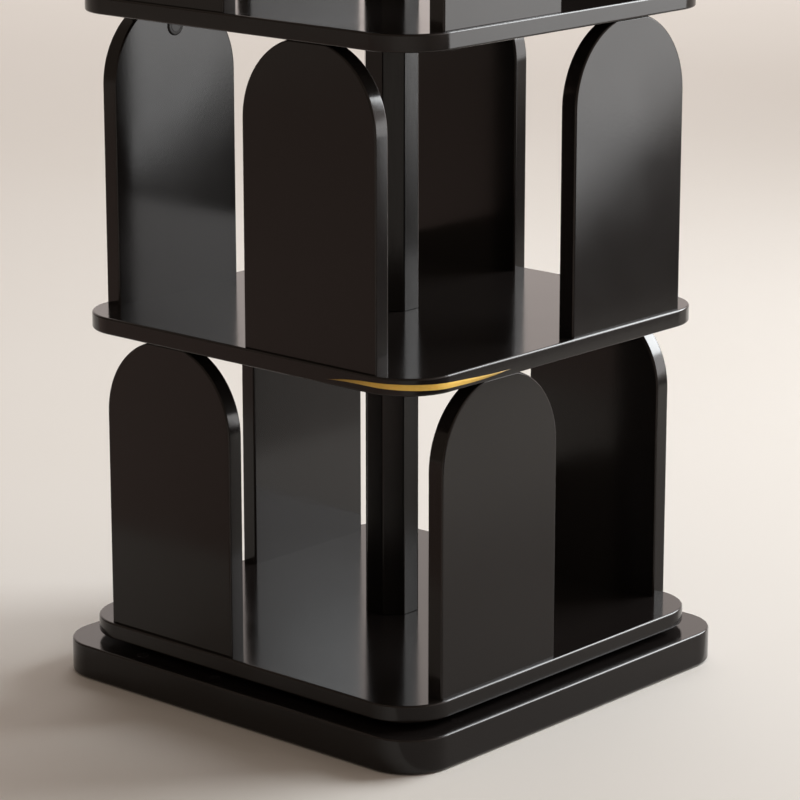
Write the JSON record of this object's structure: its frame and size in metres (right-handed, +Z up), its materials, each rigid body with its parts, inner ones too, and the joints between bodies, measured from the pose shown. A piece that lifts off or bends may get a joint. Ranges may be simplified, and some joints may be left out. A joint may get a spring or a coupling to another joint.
{
  "type": "revolving bookcase",
  "caption": "Free-standing revolving bookcase: square shelves with rounded corners, held apart by arched panels set in a pinwheel, turning on a ball turntable over a square base.",
  "frame": {"origin": "on the floor, under the middle of the base, on the axis that the carcase turns about", "axes": "+Z up along the turning axis; the front side faces -Y and the right side faces +X"},
  "size_m": [0.432, 0.432, 0.889],
  "materials": {
    "black_lacquered_board": "satin warm black lacquer on fibreboard",
    "black_lacquered_wood": "satin warm black lacquer on solid wood",
    "satin_aluminium": "satin turned aluminium",
    "bright_steel": "zinc-plated steel",
    "cast_zinc": "dull cast zinc",
    "pale_plastic": "matt moulded plastic",
    "black_plastic": "matt black moulded plastic",
    "black_rubber": "matt foam rubber"
  },
  "bodies": {
    "base": {"base_board": "black_lacquered_board", "foot_pads": "black_rubber", "turntable_fixed_ring": "satin_aluminium", "fixed_ring_screws": "bright_steel"},
    "ball_cage": {"turntable_ball_cage": "pale_plastic", "turntable_balls": "bright_steel"},
    "carcase": {"turntable_turning_ring": "satin_aluminium", "turning_ring_screws": "bright_steel", "bottom_shelf": "black_lacquered_board", "second_shelf": "black_lacquered_board", "third_shelf": "black_lacquered_board", "top_board": "black_lacquered_board", "lower_panel_front": "black_lacquered_board", "lower_panel_right": "black_lacquered_board", "lower_panel_back": "black_lacquered_board", "lower_panel_left": "black_lacquered_board", "middle_panel_front": "black_lacquered_board", "middle_panel_right": "black_lacquered_board", "middle_panel_back": "black_lacquered_board", "middle_panel_left": "black_lacquered_board", "upper_panel_front": "black_lacquered_board", "upper_panel_right": "black_lacquered_board", "upper_panel_back": "black_lacquered_board", "upper_panel_left": "black_lacquered_board", "lower_post": "black_lacquered_wood", "middle_post": "black_lacquered_wood", "upper_post": "black_lacquered_wood", "post_bottom_bolt": "bright_steel", "post_studs": "bright_steel", "post_top_stud": "bright_steel", "post_top_insert": "cast_zinc", "lower_foot_screws": "bright_steel", "middle_foot_screws": "bright_steel", "upper_foot_screws": "bright_steel", "lower_cam_bolts": "bright_steel", "middle_cam_bolts": "bright_steel", "upper_cam_bolts": "bright_steel", "lower_cam_discs": "cast_zinc", "middle_cam_discs": "cast_zinc", "upper_cam_discs": "cast_zinc", "lower_cam_caps": "black_plastic", "middle_cam_caps": "black_plastic", "upper_cam_caps": "black_plastic"}
  },
  "joints": [
    {"name": "carcase_turn", "type": "hinge", "parent": "base", "child": "carcase", "pos_m": [0, 0, 0.032], "axis": [0, 0, 1], "continuous": true},
    {"name": "ball_cage_turn", "type": "hinge", "parent": "base", "child": "ball_cage", "pos_m": [0, 0, 0.032], "axis": [0, 0, 1], "continuous": true}
  ],
  "couplings": [
    {"joint": "ball_cage_turn", "follows": "carcase_turn", "ratio": 0.5}
  ]
}
